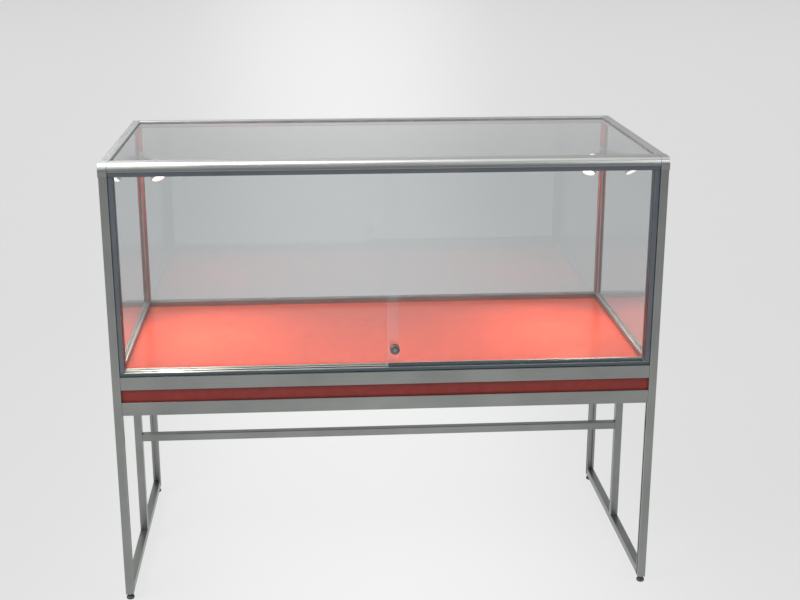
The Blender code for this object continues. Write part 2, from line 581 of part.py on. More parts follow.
def make_spot(side, word, skins):
    """Clip on the back post, an arm that swivels on it, and a lamp that tilts at the arm's end."""
    heading = math.radians(-90) - side * SPOT_YAW
    forward = Vector((math.cos(heading), math.sin(heading), 0))
    corner = Vector((side * INNER_X, INNER_Y, SPOT_HEIGHT))
    hinge = corner + forward * SPOT_PIVOT

    inner, outer = GAP, GAP + CLIP
    leg = TUBE / 2 - GROOVE / 2 - 0.001
    clip = [(-outer, -outer), (leg, -outer), (leg, -inner), (-inner, -inner), (-inner, leg), (-outer, leg)]
    bracket = solid(f"spot_bracket_{word}", [(side * x, y) for x, y in clip], "Z",
                    -CLIP_HEIGHT / 2, CLIP_HEIGHT / 2, skins["spot_body"])
    put(bracket, corner)
    root_at = 0.002
    tongue = solid(f"tongue_{word}", capsule(SPOT_PIVOT - root_at, KNUCKLE_RADIUS - 0.0015), "Z",
                   -TONGUE / 2, TONGUE / 2, None)
    put(tongue, corner + forward * root_at, (0, 0, heading))
    boolean(bracket, tongue, "UNION")
    pin_hole = turned(f"pin_hole_{word}", rod_outline(PIN_RADIUS + ROUND_CLEARANCE, -TONGUE, TONGUE),
                      None, steps=16)
    put(pin_hole, hinge)
    boolean(bracket, pin_hole)

    span = SPOT_REACH - SPOT_PIVOT
    cheek_top = TONGUE / 2 + GAP + CHEEK
    web_at = KNUCKLE_RADIUS + 0.002
    eye_back = KNUCKLE_RADIUS + 0.003
    cheek = [(web_at, KNUCKLE_RADIUS), *arc((0, 0), KNUCKLE_RADIUS, 90, 270, 10), (web_at, -KNUCKLE_RADIUS)]
    arm = solid(f"spot_arm_{word}", cheek, "Z", TONGUE / 2 + GAP, cheek_top, skins["spot_body"])
    lower = solid(f"lower_cheek_{word}", cheek, "Z", -cheek_top, -TONGUE / 2 - GAP, None)
    web = box(f"web_{word}", (web_at - 0.001, -KNUCKLE_RADIUS, -cheek_top),
              (web_at + 0.005, KNUCKLE_RADIUS, cheek_top), None)
    pin = turned(f"pin_{word}", rod_outline(PIN_RADIUS, -cheek_top + 0.0005, cheek_top - 0.0005),
                 None, steps=16)
    rod = turned(f"rod_{word}", rod_outline(ARM_RADIUS, web_at + 0.002, span - eye_back), None, steps=16)
    rod.data.transform(Matrix.Rotation(math.radians(90), 4, "Y"))
    eye = solid(f"eye_{word}",
                [(x + span - eye_back - 0.003, z) for x, z in capsule(eye_back + 0.003, 0.0034)],
                "Y", -EYE / 2, EYE / 2, None)
    eye_disc = turned(f"eye_disc_{word}", rod_outline(KNUCKLE_RADIUS, -EYE / 2, EYE / 2), None, steps=20)
    eye_disc.data.transform(Matrix.Translation((span, 0, 0)) @ Matrix.Rotation(math.radians(90), 4, "X"))
    for piece in (lower, web, pin, rod, eye, eye_disc):
        put(piece, hinge, (0, 0, heading))
        boolean(arm, piece, "UNION")
    tilt_hole = turned(f"tilt_hole_{word}", rod_outline(PIN_RADIUS + ROUND_CLEARANCE, -EYE, EYE),
                       None, steps=16)
    tilt_hole.data.transform(Matrix.Translation((span, 0, 0)) @ Matrix.Rotation(math.radians(90), 4, "X"))
    put(tilt_hole, hinge, (0, 0, heading))
    boolean(arm, tilt_hole)
    put(arm, hinge, (0, 0, heading))

    front = SPOT_NECK + SPOT_LENGTH
    seat = front - LENS_SET_BACK - LENS - GAP
    rib = 0.0012
    lamp = [(0, SPOT_NECK), (SPOT_BACK_RADIUS - rib, SPOT_NECK)]
    for i in range(3):
        start = SPOT_NECK + 0.0015 + 0.0045 * i
        lamp += [(SPOT_BACK_RADIUS, start), (SPOT_BACK_RADIUS, start + 0.002),
                 (SPOT_BACK_RADIUS - rib, start + 0.003), (SPOT_BACK_RADIUS - rib, start + 0.0042)]
    lamp += [(SPOT_RADIUS - 0.001, front - 0.014), (SPOT_RADIUS, front - 0.012), (SPOT_RADIUS, front),
             (SPOT_RADIUS - SPOT_RIM, front), (SPOT_RADIUS - SPOT_RIM, seat), (0, seat)]
    head = turned(f"spot_head_{word}", lamp, skins["spot_body"], steps=28)
    lug_inner = EYE / 2 + GAP
    lug = [(SPOT_NECK + 0.002, 0.0045), *arc((0, 0), 0.0045, 90, 270, 10), (SPOT_NECK + 0.002, -0.0045)]
    lugs = []
    for hand, y0, y1 in (("near", -lug_inner - CHEEK, -lug_inner), ("far", lug_inner, lug_inner + CHEEK)):
        lugs.append(solid(f"lug_{hand}_{word}", [(z, x) for x, z in lug], "Y", y0, y1, None))
    tilt_pin = turned(f"tilt_pin_{word}",
                      rod_outline(PIN_RADIUS, -lug_inner - CHEEK / 2, lug_inner + CHEEK / 2),
                      None, steps=16)
    tilt_pin.data.transform(Matrix.Rotation(math.radians(90), 4, "X"))
    aim = (0, math.radians(90) + SPOT_TILT, 0)
    for piece in (*lugs, tilt_pin):
        piece.parent = arm
        put(piece, (span, 0, 0), aim)
        boolean(head, piece, "UNION")
    head.parent = arm
    put(head, (span, 0, 0), aim)

    lens_radius = SPOT_RADIUS - SPOT_RIM - ROUND_CLEARANCE
    lens = turned(f"spot_lens_{word}",
                  [(0, seat + GAP), (lens_radius, seat + GAP), (lens_radius, seat + GAP + LENS * 0.6),
                   (lens_radius * 0.6, seat + GAP + LENS * 0.9), (0, seat + GAP + LENS)],
                  skins["spot_lens"], steps=28)
    lens.parent = head


# ---------------------------------------------------------------- build


def main():
    for stale in list(bpy.data.objects):
        bpy.data.objects.remove(stale, do_unlink=True)
    skins = new_materials()
    make_posts(skins["aluminium"])
    make_feet(skins["black_plastic"])
    make_side_frames(skins["aluminium"])
    make_belt(skins)
    make_boards(skins)
    make_gland(skins["black_plastic"])
    make_top(skins["aluminium"])
    make_fixed_glass(skins["glass"])
    make_tracks(skins["door_profile"])
    make_doors(skins["glass"])
    make_lock(skins["lock_metal"])
    for side, word in SIDES:
        make_spot(side, word, skins)


main()
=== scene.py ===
# %% [markdown]
# # A glass display case on an open leg frame
# The case is a box of glass held by slim square extrusions. Below it runs a belt of two rails with a
# red panel between them, and below that stand four legs with a light frame on each side.
# The shapes that carry load or move come ready-made as a frame of named nodes. This lesson gives each
# of them its finish, adds the small pieces that a maker fits last, and sets up the light.

# %% Load the frame
import json
import math

import bmesh
import bpy
from mathutils import Matrix, Vector


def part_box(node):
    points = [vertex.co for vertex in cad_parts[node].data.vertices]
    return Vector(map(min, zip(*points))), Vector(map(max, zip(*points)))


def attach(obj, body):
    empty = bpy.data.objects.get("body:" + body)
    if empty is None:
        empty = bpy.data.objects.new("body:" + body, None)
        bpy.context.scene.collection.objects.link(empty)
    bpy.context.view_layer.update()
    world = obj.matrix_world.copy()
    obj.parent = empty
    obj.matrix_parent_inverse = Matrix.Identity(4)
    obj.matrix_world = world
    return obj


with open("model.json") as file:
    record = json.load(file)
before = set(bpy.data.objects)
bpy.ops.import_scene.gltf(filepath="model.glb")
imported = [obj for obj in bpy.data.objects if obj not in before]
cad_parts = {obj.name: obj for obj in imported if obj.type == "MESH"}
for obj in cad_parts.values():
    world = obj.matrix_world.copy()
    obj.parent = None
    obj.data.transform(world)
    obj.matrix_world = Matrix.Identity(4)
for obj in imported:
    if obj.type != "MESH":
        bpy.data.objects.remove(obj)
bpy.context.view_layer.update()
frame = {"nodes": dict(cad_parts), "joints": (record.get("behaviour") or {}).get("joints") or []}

# %% [markdown]
# ## Sizes
# Every place is read from the nodes' own boxes, so that a seal or a screw lands where its rail is.
# The daylight of a pane is the part of it that shows between its rails.

# %% Read the sizes
POST_LOW, POST_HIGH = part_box("post_front_right")
BACK_POST_LOW, BACK_POST_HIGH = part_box("post_back_right")
SECTION = POST_HIGH.x - POST_LOW.x
INNER_X = POST_LOW.x
INNER_FRONT = POST_HIGH.y
INNER_BACK = BACK_POST_LOW.y
SILL_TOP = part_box("belt_rail_front")[1].z
TOP_RAIL_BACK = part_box("top_rail_front")[1].y
BACK_RAIL_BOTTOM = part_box("top_rail_back")[0].z
SIDES = ((-1, "left"), (1, "right"))
print("section of a post (mm):", round(SECTION * 1000, 2))
print("daylight of the case (m):", round(2 * INNER_X, 3), "x", round(INNER_BACK - INNER_FRONT, 3))

# %% [markdown]
# ## Camera
# A standing visitor looks at the case a little from the left of its middle and from above the top
# pane. A moderately long lens keeps the legs nearly upright. The lens is in millimetres on a
# 36 mm wide sensor.

# %% Set up the camera
CAMERA_AT = Vector((-0.1612, -2.9791, 1.5040))
LOOK_DOWN = math.radians(16.62)
LOOK_RIGHT = math.radians(3.98)
LENS_MM = 58.56

camera_data = bpy.data.cameras.new("visitor_camera")
camera_data.lens = LENS_MM
camera_data.sensor_width = 36
camera_data.dof.use_dof = False
camera = bpy.data.objects.new("visitor_camera", camera_data)
camera.location = CAMERA_AT
camera.rotation_euler = (math.radians(90) - LOOK_DOWN, 0, -LOOK_RIGHT)
bpy.context.scene.collection.objects.link(camera)
bpy.context.scene.camera = camera
print("camera", tuple(round(v, 3) for v in camera.location), "lens", LENS_MM)

# %% [markdown]
# ## Building materials from nodes
# A material is a small graph. A few helpers cover most of it: they make the material, add a node with
# its settings, do a sum, read one number of a place or a normal, stretch a noise over the piece, and
# turn a value into two shades of a colour. Noise is stretched by the mapping's scale, so a bar gets
# long drawn lines.

# %% Material helpers
PLACE = ("ShaderNodeTexCoord", "Object")
NORMAL = ("ShaderNodeNewGeometry", "Normal")


def new_material(name):
    made = bpy.data.materials.new(name)
    made.use_nodes = True
    return made, made.node_tree, made.node_tree.nodes["Principled BSDF"]


def add(tree, kind, **values):
    """Add a node. Spaces in an input's name are written as underscores."""
    node = tree.nodes.new(kind)
    for key, value in values.items():
        node.inputs[key.replace("_", " ")].default_value = value
    return node


def calculate(tree, operation, *values):
    """A Math node. Each value is a number or another node's output."""
    node = tree.nodes.new("ShaderNodeMath")
    node.operation = operation
    for socket, value in zip(node.inputs, values):
        if isinstance(value, float):
            socket.default_value = value
        else:
            tree.links.new(value, socket)
    return node.outputs[0]


def component(tree, source, axis):
    """One of the three numbers of PLACE or of NORMAL."""
    kind, output = source
    parts = tree.nodes.new("ShaderNodeSeparateXYZ")
    tree.links.new(tree.nodes.new(kind).outputs[output], parts.inputs[0])
    return parts.outputs[axis]


def noise(tree, stretch, scale, detail=4.0, roughness=0.55):
    """A noise in the piece's own coordinates, stretched along the axis with the small number."""
    place = tree.nodes.new("ShaderNodeTexCoord")
    mapping = add(tree, "ShaderNodeMapping", Scale=stretch)
    texture = add(tree, "ShaderNodeTexNoise", Scale=scale, Detail=detail, Roughness=roughness)
    tree.links.new(place.outputs["Object"], mapping.inputs["Vector"])
    tree.links.new(mapping.outputs["Vector"], texture.inputs["Vector"])
    return texture.outputs["Fac"]


def shades(tree, value, dark, light, low=0.35, high=0.65):
    """Two shades of a colour: dark up to the value `low`, light from `high` on."""
    ramp = tree.nodes.new("ShaderNodeValToRGB")
    ramp.color_ramp.elements[0].position = low
    ramp.color_ramp.elements[0].color = (*dark, 1)
    ramp.color_ramp.elements[1].position = high
    ramp.color_ramp.elements[1].color = (*light, 1)
    tree.links.new(value, ramp.inputs["Fac"])
    return ramp.outputs["Color"]


def spread(tree, value, low, high):
    """Map a noise onto a range, such as that of a roughness."""
    mapped = add(tree, "ShaderNodeMapRange", From_Min=0.3, From_Max=0.7, To_Min=low, To_Max=high)
    tree.links.new(value, mapped.inputs["Value"])
    return mapped.outputs["Result"]


def raise_surface(tree, shader, height, strength, depth):
    bump = add(tree, "ShaderNodeBump", Strength=strength, Distance=depth)
    tree.links.new(height, bump.inputs["Height"])
    tree.links.new(bump.outputs["Normal"], shader.inputs["Normal"])


# %% [markdown]
# ## Anodised aluminium
# The bars are pressed through a die and then anodised. Two things show: very fine lines along the
# bar from the die, and a slow change of tone from the bath. A noise stretched along the bar gives
# the lines and a broad one the tone. Because the lines follow the bar, each finish is made once for
# each direction in which it is used. The rails at the top take a lighter copy of it, a painted
# highlight for the light that falls on them, and the channels for the doors are a darker grey.

# %% Aluminium along each axis
LONG, FINE = 1.5, 260.0
LINES_SHARE = 0.45
STRETCH = {"X": (LONG, FINE, FINE), "Y": (FINE, LONG, FINE), "Z": (FINE, FINE, LONG)}


def anodised(name, axis, dark, light, rough):
    made, tree, shader = new_material(f"{name}_along_{axis.lower()}")
    lines = noise(tree, STRETCH[axis], 3.0, detail=3.0)
    clouds = noise(tree, (1, 1, 1), 9.0, detail=2.0)
    broad = calculate(tree, "MULTIPLY", clouds, 1 - LINES_SHARE)
    both = calculate(tree, "MULTIPLY_ADD", lines, LINES_SHARE, broad)
    tree.links.new(shades(tree, both, dark, light), shader.inputs["Base Color"])
    tree.links.new(spread(tree, lines, rough - 0.05, rough + 0.07), shader.inputs["Roughness"])
    shader.inputs["Metallic"].default_value = 1.0
    raise_surface(tree, shader, lines, 0.06, 0.00015)
    return made


ALUMINIUM = {axis: anodised("anodised_aluminium", axis, (0.255, 0.268, 0.258), (0.325, 0.338, 0.322), 0.33)
             for axis in "XYZ"}
# The top rails' lighter copy of the aluminium is a painted highlight.
PAINTED_LIT_ALUMINIUM = {
    "X": anodised("painted_lit_aluminium", "X", (0.60, 0.61, 0.59), (0.70, 0.71, 0.685), 0.31),
    "Y": anodised("painted_lit_aluminium", "Y", (0.62, 0.63, 0.63), (0.74, 0.75, 0.75), 0.28),
}
CHANNEL = {axis: anodised("dark_channel", axis, (0.145, 0.165, 0.19), (0.20, 0.22, 0.245), 0.40)
           for axis in "XZ"}
print("aluminium finishes:", [m.name for m in (*ALUMINIUM.values(), *PAINTED_LIT_ALUMINIUM.values(), *CHANNEL.values())])

# %% [markdown]
# ## Glass
# Float glass is clear face-on and green through its edge, because light travels further in it
# there. The back and side panes are a shade greyer than the doors and the top. The shader compares
# the surface's normal with the pane's own axis to tell a face from an edge. A faint, large noise in
# the roughness is the haze that cloths leave. Real glass lets lamps shine through, which a path
# tracer finds hard to follow, so rays that look for a lamp meet a plain transparent shader instead.

# %% Glass for panes that face X, Y or Z
PANE_FACE = (0.58, 0.60, 0.605)
CLEAR_FACE = (0.94, 0.95, 0.955)
GLASS_EDGE = (0.34, 0.50, 0.44)
GLASS_SHADOW = (0.86, 0.90, 0.88, 1)


def float_glass(name, axis, face):
    made, tree, shader = new_material(name)
    facing = calculate(tree, "ABSOLUTE", component(tree, NORMAL, axis))
    tree.links.new(shades(tree, facing, GLASS_EDGE, face, 0.3, 0.8), shader.inputs["Base Color"])
    haze = noise(tree, (1, 1, 1), 6.0, detail=5.0)
    tree.links.new(spread(tree, haze, 0.0, 0.035), shader.inputs["Roughness"])
    shader.inputs["IOR"].default_value = 1.5
    shader.inputs["Transmission Weight"].default_value = 1.0
    path = tree.nodes.new("ShaderNodeLightPath")
    clear = add(tree, "ShaderNodeBsdfTransparent", Color=GLASS_SHADOW)
    mix = tree.nodes.new("ShaderNodeMixShader")
    tree.links.new(path.outputs["Is Shadow Ray"], mix.inputs[0])
    tree.links.new(shader.outputs[0], mix.inputs[1])
    tree.links.new(clear.outputs[0], mix.inputs[2])
    tree.links.new(mix.outputs[0], tree.nodes["Material Output"].inputs["Surface"])
    return made


GLASS = {axis: float_glass(f"float_glass_facing_{axis.lower()}", axis, PANE_FACE) for axis in "XY"}
DOOR_GLASS = float_glass("door_float_glass", "Y", CLEAR_FACE)
TOP_GLASS = float_glass("top_float_glass", "Z", CLEAR_FACE)
print("glass finishes:", len(GLASS) + 2)

# %% [markdown]
# ## Red laminate and red panels
# The deck is a board with a glossy high-pressure laminate. Its colour is even, with a very slight
# mottle, and its gloss has the small waviness called orange peel, which comes from a shallow bump.
# The panels in the belt are a darker, more satin red.

# %% Laminate and panel


def laminate(name, dark, light, rough, coat, peel):
    made, tree, shader = new_material(name)
    mottle = noise(tree, (1, 1, 1), 60.0, detail=6.0)
    tree.links.new(shades(tree, mottle, dark, light), shader.inputs["Base Color"])
    broad = noise(tree, (1, 1, 1), 14.0, detail=3.0)
    tree.links.new(spread(tree, broad, rough - 0.03, rough + 0.05), shader.inputs["Roughness"])
    shader.inputs["Coat Weight"].default_value = coat
    shader.inputs["Coat Roughness"].default_value = 0.12
    raise_surface(tree, shader, noise(tree, (1, 1, 1), 240.0, detail=2.0), peel, 0.0002)
    return made


DECK_RED = laminate("glossy_red_laminate", (0.67, 0.072, 0.034), (0.77, 0.092, 0.042), 0.20, 0.5, 0.10)
PANEL_RED = laminate("satin_red_panel", (0.235, 0.018, 0.011), (0.285, 0.024, 0.015), 0.36, 0.0, 0.15)
print("reds:", DECK_RED.name, PANEL_RED.name)

# %% [markdown]
# ## Small metal parts, plastics and the lens
# The lock is a dull die-cast metal with a paler plug. The screws are plated
# steel and the spots satin aluminium. All of them are turned, so their noise is fine and even.
# Moulded plastic has a fine grain that comes from the mould. The lens is frosted and glows warmly.

# %% Small finishes


def turned_metal(name, dark, light, rough):
    made, tree, shader = new_material(name)
    grain = noise(tree, (1, 1, 1), 900.0, detail=3.0)
    tree.links.new(shades(tree, grain, dark, light), shader.inputs["Base Color"])
    tree.links.new(spread(tree, grain, rough - 0.05, rough + 0.08), shader.inputs["Roughness"])
    shader.inputs["Metallic"].default_value = 1.0
    raise_surface(tree, shader, grain, 0.10, 0.00005)
    return made


def moulded(name, dark, light, rough):
    made, tree, shader = new_material(name)
    grain = noise(tree, (1, 1, 1), 1400.0, detail=2.0)
    wear = noise(tree, (1, 1, 1), 35.0, detail=4.0)
    tree.links.new(shades(tree, wear, dark, light), shader.inputs["Base Color"])
    tree.links.new(spread(tree, wear, rough - 0.06, rough + 0.10), shader.inputs["Roughness"])
    raise_surface(tree, shader, grain, 0.25, 0.0001)
    return made


def glowing_lens():
    made, tree, shader = new_material("warm_lens")
    frost = noise(tree, (1, 1, 1), 500.0, detail=2.0)
    warm = shades(tree, frost, (1.0, 0.90, 0.76), (1.0, 0.96, 0.88))
    tree.links.new(warm, shader.inputs["Base Color"])
    tree.links.new(warm, shader.inputs["Emission Color"])
    shader.inputs["Emission Strength"].default_value = 2.2
    shader.inputs["Roughness"].default_value = 0.25
    raise_surface(tree, shader, frost, 0.3, 0.0002)
    return made


LOCK_METAL = turned_metal("dull_lock_metal", (0.17, 0.145, 0.15), (0.24, 0.205, 0.21), 0.48)
LOCK_PLUG = turned_metal("pale_lock_plug", (0.34, 0.30, 0.31), (0.44, 0.40, 0.41), 0.50)
STEEL = turned_metal("zinc_plated_steel", (0.50, 0.50, 0.49), (0.62, 0.62, 0.60), 0.32)
SPOT_METAL = turned_metal("satin_spot_metal", (0.56, 0.57, 0.58), (0.68, 0.69, 0.70), 0.30)
BLACK = moulded("black_moulding", (0.018, 0.018, 0.019), (0.035, 0.035, 0.037), 0.48)
FOOT_GREY = moulded("dark_grey_foot", (0.065, 0.066, 0.068), (0.105, 0.106, 0.108), 0.50)
SEAL = moulded("grey_glazing_seal", (0.20, 0.205, 0.208), (0.27, 0.275, 0.278), 0.55)
PANEL_GREY = moulded("grey_base_panel", (0.34, 0.35, 0.36), (0.42, 0.43, 0.44), 0.60)
LENS = glowing_lens()
METALS = (LOCK_METAL, LOCK_PLUG, STEEL, SPOT_METAL)
print("small finishes:", len(METALS) + len((BLACK, FOOT_GREY, SEAL, PANEL_GREY, LENS)))

# %% [markdown]
# ## Painted highlights on upper faces
# The bottom track, the side sills and the rounded rail in front are painted a light colour where they
# face up and a darker one where they face forward or aside: a painted highlight for the light that
# falls on their tops, and painted shade on the faces below it. The surface's normal tells the two
# apart.

# %% Bars with a painted highlight on their upper faces


def painted_highlight_above(name, axis, shaded_side_colour, lit_top_colour, low=0.45, high=0.9):
    made, tree, shader = new_material(name)
    colour_and_painted_light = shades(tree, component(tree, NORMAL, "Z"), shaded_side_colour, lit_top_colour, low, high)
    tree.links.new(colour_and_painted_light, shader.inputs["Base Color"])
    lines = noise(tree, STRETCH[axis], 3.0, detail=3.0)
    tree.links.new(spread(tree, lines, 0.26, 0.42), shader.inputs["Roughness"])
    shader.inputs["Metallic"].default_value = 1.0
    raise_surface(tree, shader, lines, 0.06, 0.00015)
    return made


# Each of these is painted highlight where it faces up and painted shade where it faces aside.
TRACK_PAINTED_HIGHLIGHT = painted_highlight_above("track_painted_highlight", "X", (0.10, 0.125, 0.14), (0.74, 0.73, 0.70))
SIDE_SILL_PAINTED_HIGHLIGHT = painted_highlight_above("side_sill_painted_highlight", "Y", (0.29, 0.303, 0.29), (0.80, 0.79, 0.76))
NOSE_PAINTED_HIGHLIGHT = painted_highlight_above("nose_painted_highlight", "X", (0.34, 0.35, 0.34), (0.64, 0.645, 0.62), 0.1, 0.6)
print("two-tone finishes:", TRACK_PAINTED_HIGHLIGHT.name, SIDE_SILL_PAINTED_HIGHLIGHT.name, NOSE_PAINTED_HIGHLIGHT.name)

# %% [markdown]
# ## Finishes on the frame's own nodes
# The frame's shapes stay as they are and only get a better material. A dictionary from a word in
# the node's name to a finish keeps this readable. A bar takes the aluminium made for its direction,
# which the longest side of its box gives, and a pane the glass for the way it faces, which the
# thinnest side gives.

# %% Dress the nodes


def axis_of(node, pick):
    """The axis of a box's longest side (pick is max) or of its thinnest one (pick is min)."""
    low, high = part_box(node)
    sizes = list(high - low)
    return "XYZ"[sizes.index(pick(sizes))]


PLAIN = {
    "lock_plug": LOCK_PLUG, "lock_": LOCK_METAL, "deck_board": DECK_RED, "fascia": PANEL_RED,
    "base_panel": PANEL_GREY, "spot_lens": LENS, "spot_": SPOT_METAL, "foot_": FOOT_GREY,
    "lamp_driver": BLACK, "cable_gland": BLACK,
}


def finish_for(node):
    for word, material in PLAIN.items():
        if node.startswith(word):
            return material
    if node.startswith("door_glass"):
        return DOOR_GLASS
    if node == "glass_top":
        return TOP_GLASS
    if "glass" in node:
        return GLASS[axis_of(node, min)]
    if node == "door_track_bottom":
        return TRACK_PAINTED_HIGHLIGHT
    if node in ("belt_rail_left", "belt_rail_right"):
        return SIDE_SILL_PAINTED_HIGHLIGHT
    if node.startswith("door_"):
        return CHANNEL[axis_of(node, max)]
    if node == "top_rail_front" or node.startswith("corner_block"):
        return NOSE_PAINTED_HIGHLIGHT
    if node.startswith("top_rail"):
        return PAINTED_LIT_ALUMINIUM[axis_of(node, max)]
    return ALUMINIUM[axis_of(node, max)]


for node, shape in frame["nodes"].items():
    material = finish_for(node)
    if shape.material_slots:
        for place in shape.material_slots:
            place.material = material
    else:
        shape.data.materials.append(material)
print("dressed", len(frame["nodes"]), "nodes")

# %% [markdown]
# ## Making the added pieces
# Each added piece is a mesh built in place, in the frame's own coordinates, and then tied to the
# body that it moves with. One helper does the last steps the same way for all of them.

# %% Piece helpers


def add_piece(name, bm, material, body, smooth=True):
    bmesh.ops.recalc_face_normals(bm, faces=bm.faces)
    mesh = bpy.data.meshes.new(name)
    bm.to_mesh(mesh)
    bm.free()
    if smooth:
        mesh.shade_smooth()
        mesh.set_sharp_from_angle(angle=math.radians(35))
    mesh.materials.append(material)
    made = bpy.data.objects.new(name, mesh)
    bpy.context.scene.collection.objects.link(made)
    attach(made, body)
    return made


def spin_outline(bm, outline, matrix, steps):
    """Turn an outline of (radius, height) round Z, then put it in place."""
    points = [bm.verts.new((radius, 0, height)) for radius, height in outline]
    edges = [bm.edges.new(pair) for pair in zip(points, points[1:])]
    bmesh.ops.spin(bm, geom=points + edges, cent=(0, 0, 0), axis=(0, 0, 1),
                   angle=2 * math.pi, steps=steps, use_merge=True)
    bmesh.ops.remove_doubles(bm, verts=bm.verts, dist=1e-6)
    bmesh.ops.transform(bm, matrix=matrix, verts=bm.verts)


# %% [markdown]
# ## Glazing seals
# A pane never sits on bare metal. A soft strip is pressed between glass and rail, all round and on
# both faces, and it shows as a thin dark line with a sloping lip. It is a closed ring, so the
# corners are mitred: the strip's section is placed at the four corners of the daylight and
# neighbouring sections are joined.

# %% Seals round the fixed panes
SEAL_WIDTH = 0.0022
SEAL_PROUD = 0.0026
SEAL_GAP = 0.0002
SECTION_SHAPE = ((0, 0), (0, 1), (0.35, 1), (0.75, 0.55), (1, 0))


def seal_ring(name, axis, face, outward, low, high):
    """A ring on the plane `axis` = face. low and high are corners of the daylight on the other two."""
    others = [i for i in range(3) if i != axis]
    bm = bmesh.new()
    rings = []
    for a_end, b_end in ((0, 0), (1, 0), (1, 1), (0, 1)):
        ring = []
        for inward, proud in SECTION_SHAPE:
            point = [0.0, 0.0, 0.0]
            step = SEAL_GAP + inward * SEAL_WIDTH
            point[others[0]] = low[0] + step if a_end == 0 else high[0] - step
            point[others[1]] = low[1] + step if b_end == 0 else high[1] - step
            point[axis] = face + outward * (SEAL_GAP + proud * SEAL_PROUD)
            ring.append(bm.verts.new(point))
        rings.append(ring)
    count = len(SECTION_SHAPE)
    for k in range(4):
        here, there = rings[k], rings[(k + 1) % 4]
        for i in range(count):
            j = (i + 1) % count
            bm.faces.new((here[i], here[j], there[j], there[i]))
    return add_piece(name, bm, SEAL, "frame", smooth=False)


seals = []
PANES = {
    "top": (2, "glass_top", (-INNER_X, TOP_RAIL_BACK), (INNER_X, INNER_BACK)),
    "back": (1, "glass_back", (-INNER_X, SILL_TOP), (INNER_X, BACK_RAIL_BOTTOM)),
    "left": (0, "glass_left", (INNER_FRONT, SILL_TOP), (INNER_BACK, BACK_RAIL_BOTTOM)),
    "right": (0, "glass_right", (INNER_FRONT, SILL_TOP), (INNER_BACK, BACK_RAIL_BOTTOM)),
}
for word, (axis, node, low, high) in PANES.items():
    pane_low, pane_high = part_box(node)
    seals.append(seal_ring(f"seal_{word}_low", axis, pane_low[axis], -1, low, high))
    seals.append(seal_ring(f"seal_{word}_high", axis, pane_high[axis], 1, low, high))
print("seals:", len(seals))

# %% [markdown]
# ## Shoe under the lock door
# The door with the lock is the one that is pulled, so its lower edge wears a slim metal shoe that
# glides over the track. Only its two cheeks show, one on each face of the glass, so they are what is
# made. They end in a small slope at the top and stop short of the jambs.

# %% Door shoe
SHOE_WALL = 0.0013
SHOE_HEIGHT = 0.006
SHOE_SLOPE = 0.001
SHOE_RAISE = 0.0006
JAMB_SPACE = 0.004

pane_low, pane_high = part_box("door_glass_right")
track_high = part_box("door_track_bottom")[1]
jamb_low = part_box("door_jamb_right")[0]


def build_shoe():
    """Each cheek's outline, extruded along the door's edge."""
    bm = bmesh.new()
    base = track_high.z + SHOE_RAISE
    for face, outward in ((pane_low.y, -1), (pane_high.y, 1)):
        near = face + outward * SEAL_GAP
        far = face + outward * (SEAL_GAP + SHOE_WALL)
        mid = face + outward * (SEAL_GAP + SHOE_WALL * 0.6)
        top = base + SHOE_HEIGHT
        outline = [(near, base), (far, base), (far, top - SHOE_SLOPE), (mid, top), (near, top)]
        ring = [bm.verts.new((pane_low.x + JAMB_SPACE, y, z)) for y, z in outline]
        grown = bmesh.ops.extrude_face_region(bm, geom=[bm.faces.new(ring)])
        moved = [item for item in grown["geom"] if isinstance(item, bmesh.types.BMVert)]
        length = jamb_low.x - JAMB_SPACE - (pane_low.x + JAMB_SPACE)
        bmesh.ops.translate(bm, verts=moved, vec=(length, 0, 0))
    # The shoe shares the track's finish, with its painted highlight where it faces up.
    return add_piece("door_shoe", bm, TRACK_PAINTED_HIGHLIGHT, "door_right", smooth=False)


shoe = build_shoe()
print("door shoe", [round(v, 4) for v in shoe.dimensions])

# %% [markdown]
# ## Feet: end plate and lock nut
# A moulded plate closes the open end of each leg, and a hexagon nut under it locks the levelling
# foot's thread. The nut's corners are turned away by a chamfer, as on a bought nut, which here is
# made by giving the hexagon three levels: a narrow, a full and a narrow one.

# %% End plates and nuts
PLATE = 0.0012
PLATE_INSET = 0.0004
PLATE_GAP = 0.0001
HOLE = 0.0035
NUT_FLATS = 0.010
NUT_HEIGHT = 0.0032
NUT_BORE = HOLE - 0.0003
STEPS = 24


def ring_prism(bm, outer, levels, hole):
    """Walls and rims of a prism with a round hole. levels are (height, share of the outline)."""
    count = len(outer)
    skins = [[bm.verts.new((x * share, y * share, z)) for x, y in outer] for z, share in levels]
    bores = []
    for z in (levels[0][0], levels[-1][0]):
        turn = [math.atan2(y, x) for x, y in outer]
        bores.append([bm.verts.new((hole * math.cos(t), hole * math.sin(t), z)) for t in turn])
    loops = [bores[0], *skins, bores[1]]
    for here, there in zip(loops, loops[1:] + loops[:1]):
        for i in range(count):
            j = (i + 1) % count
            bm.faces.new((here[i], here[j], there[j], there[i]))


def polygon_points(sides, flats, steps):
    """Points round a regular polygon, several on each side so that a round hole fits it."""
    points = []
    for k in range(steps):
        t = 2 * math.pi * k / steps
        wedge = 2 * math.pi / sides
        off = (t + wedge / 2) % wedge - wedge / 2
        radius = flats / 2 / math.cos(off)
        points.append((radius * math.cos(t), radius * math.sin(t)))
    return points


